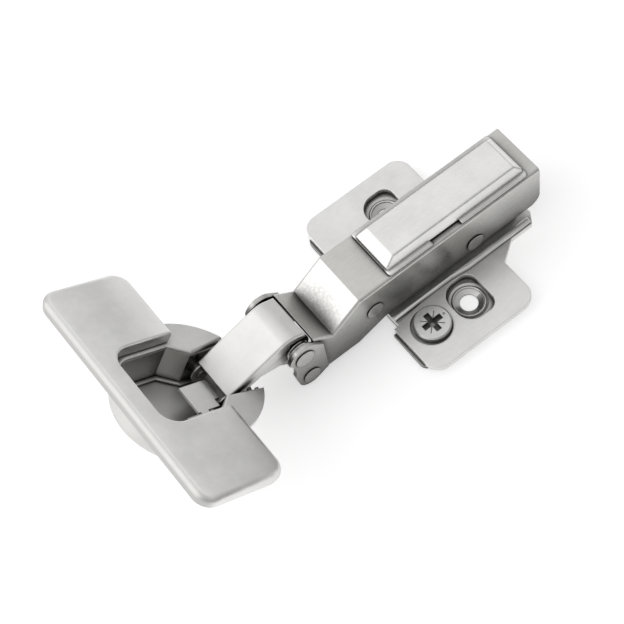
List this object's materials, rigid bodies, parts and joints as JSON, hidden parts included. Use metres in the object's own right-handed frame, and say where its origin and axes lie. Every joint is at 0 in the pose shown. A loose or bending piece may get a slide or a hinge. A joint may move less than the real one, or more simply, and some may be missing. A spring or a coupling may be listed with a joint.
{
  "type": "concealed cup hinge",
  "caption": "Concealed cabinet door hinge: folding cup with cover plate, clip-on adjustable arm and two-layer fixing plate with an eccentric height screw.",
  "frame": {"origin": "on the cabinet face, midway between the two screws of the fixing plate", "axes": "+Z away from the cabinet side, +X along the arm from the cup towards the tail, +Y along the line of the two plate screws"},
  "size_m": [0.1151, 0.066, 0.0372],
  "materials": {
    "plate_nickel": "satin nickel plating on pressed sheet",
    "arm_nickel": "satin nickel plating on folded sheet",
    "channel_nickel": "plain plated sheet",
    "cup_nickel": "drawn and nickel plated",
    "cover_nickel": "satin nickel plating",
    "cap_nickel": "bright nickel plating",
    "link_nickel": "bright plated",
    "pin_steel": "turned and plated",
    "screw_zinc": "zinc plated",
    "spring_wire": "drawn wire",
    "damper_plastic": "moulded, matt"
  },
  "bodies": {
    "fixed_plate": {"base_plate": "plate_nickel", "guide_studs": "pin_steel"},
    "top_plate": {"wing_plate": "plate_nickel", "hook_pin": "pin_steel", "carrier": "channel_nickel", "lever_pin": "pin_steel", "lever_spring": "spring_wire"},
    "height_adjuster": {"height_screw": "screw_zinc"},
    "release_lever": {"clip_lever": "channel_nickel"},
    "tail_pivot": {"tail_rivet": "pin_steel"},
    "hinge_arm": {"arm": "arm_nickel", "knee_rivet": "pin_steel", "arm_cap": "cap_nickel", "upper_rivet": "pin_steel", "lower_rivet": "pin_steel", "closing_springs": "spring_wire"},
    "side_adjuster": {"side_screw": "screw_zinc"},
    "depth_adjuster": {"depth_screw": "screw_zinc"},
    "outer_arm": {"outer_link": "link_nickel"},
    "inner_arm": {"inner_link": "link_nickel", "link_pin": "pin_steel"},
    "door_cup": {"cup": "cup_nickel", "cup_brackets": "channel_nickel", "cup_pins": "pin_steel", "damper_housing": "damper_plastic", "cup_cover": "cover_nickel"},
    "damper_press": {"damper_plate": "link_nickel"}
  },
  "joints": [
    {"name": "height_slide", "type": "slide", "parent": "fixed_plate", "child": "top_plate", "axis": [0, 1, 0], "range_m": [-0.0018, 0.0018]},
    {"name": "height_screw_turn", "type": "hinge", "parent": "top_plate", "child": "height_adjuster", "pos_m": [-0.0111, -0.016, 0.002], "axis": [0, 0, 1], "range_deg": [-70, 70]},
    {"name": "lever_release", "type": "hinge", "parent": "top_plate", "child": "release_lever", "pos_m": [0.0195, 0, 0.0112], "axis": [0, -1, 0], "range_deg": [0, 15], "stiffness_Nm_per_rad": 0.05, "springref_deg": -8.59},
    {"name": "depth_slide", "type": "slide", "parent": "top_plate", "child": "tail_pivot", "axis": [1, 0, 0], "range_m": [-0.0019, 0.0019]},
    {"name": "arm_tilt", "type": "hinge", "parent": "tail_pivot", "child": "hinge_arm", "pos_m": [0.0089, 0, 0.0088], "axis": [0, 1, 0], "range_deg": [-1.2, 1.2]},
    {"name": "side_screw_turn", "type": "hinge", "parent": "hinge_arm", "child": "side_adjuster", "pos_m": [-0.0095, 0, 0.018], "axis": [0, 0, 1], "range_deg": [-180, 180]},
    {"name": "depth_screw_turn", "type": "hinge", "parent": "hinge_arm", "child": "depth_adjuster", "pos_m": [0.017, 0, 0.018], "axis": [0, 0, 1], "range_deg": [-60, 60]},
    {"name": "link_fold", "type": "hinge", "parent": "hinge_arm", "child": "outer_arm", "pos_m": [-0.0423, 0, 0.0152], "axis": [0, -1, 0], "range_deg": [-9, 62.8]},
    {"name": "cup_swing", "type": "hinge", "parent": "outer_arm", "child": "door_cup", "pos_m": [-0.06237, 0, 0.01296], "axis": [0, -1, 0], "range_deg": [-120, 17.4]},
    {"name": "inner_fold", "type": "hinge", "parent": "hinge_arm", "child": "inner_arm", "pos_m": [-0.0416, 0, 0.0057], "axis": [0, -1, 0], "range_deg": [-10.8, 74.3]},
    {"name": "damper_travel", "type": "slide", "parent": "door_cup", "child": "damper_press", "axis": [-0.5446, 0, -0.8387], "range_m": [-0.0007, 0.0043]}
  ],
  "couplings": [
    {"joint": "height_screw_turn", "follows": "height_slide", "rad_per_m": -678.8},
    {"joint": "depth_screw_turn", "follows": "depth_slide", "rad_per_m": 551.2},
    {"joint": "side_screw_turn", "follows": "arm_tilt", "ratio": 150},
    {"joint": "cup_swing", "follows": "link_fold", "ratio": -1.9076},
    {"joint": "inner_fold", "follows": "link_fold", "ratio": 1.18},
    {"joint": "damper_travel", "follows": "link_fold", "m_per_rad": 0.00383}
  ]
}
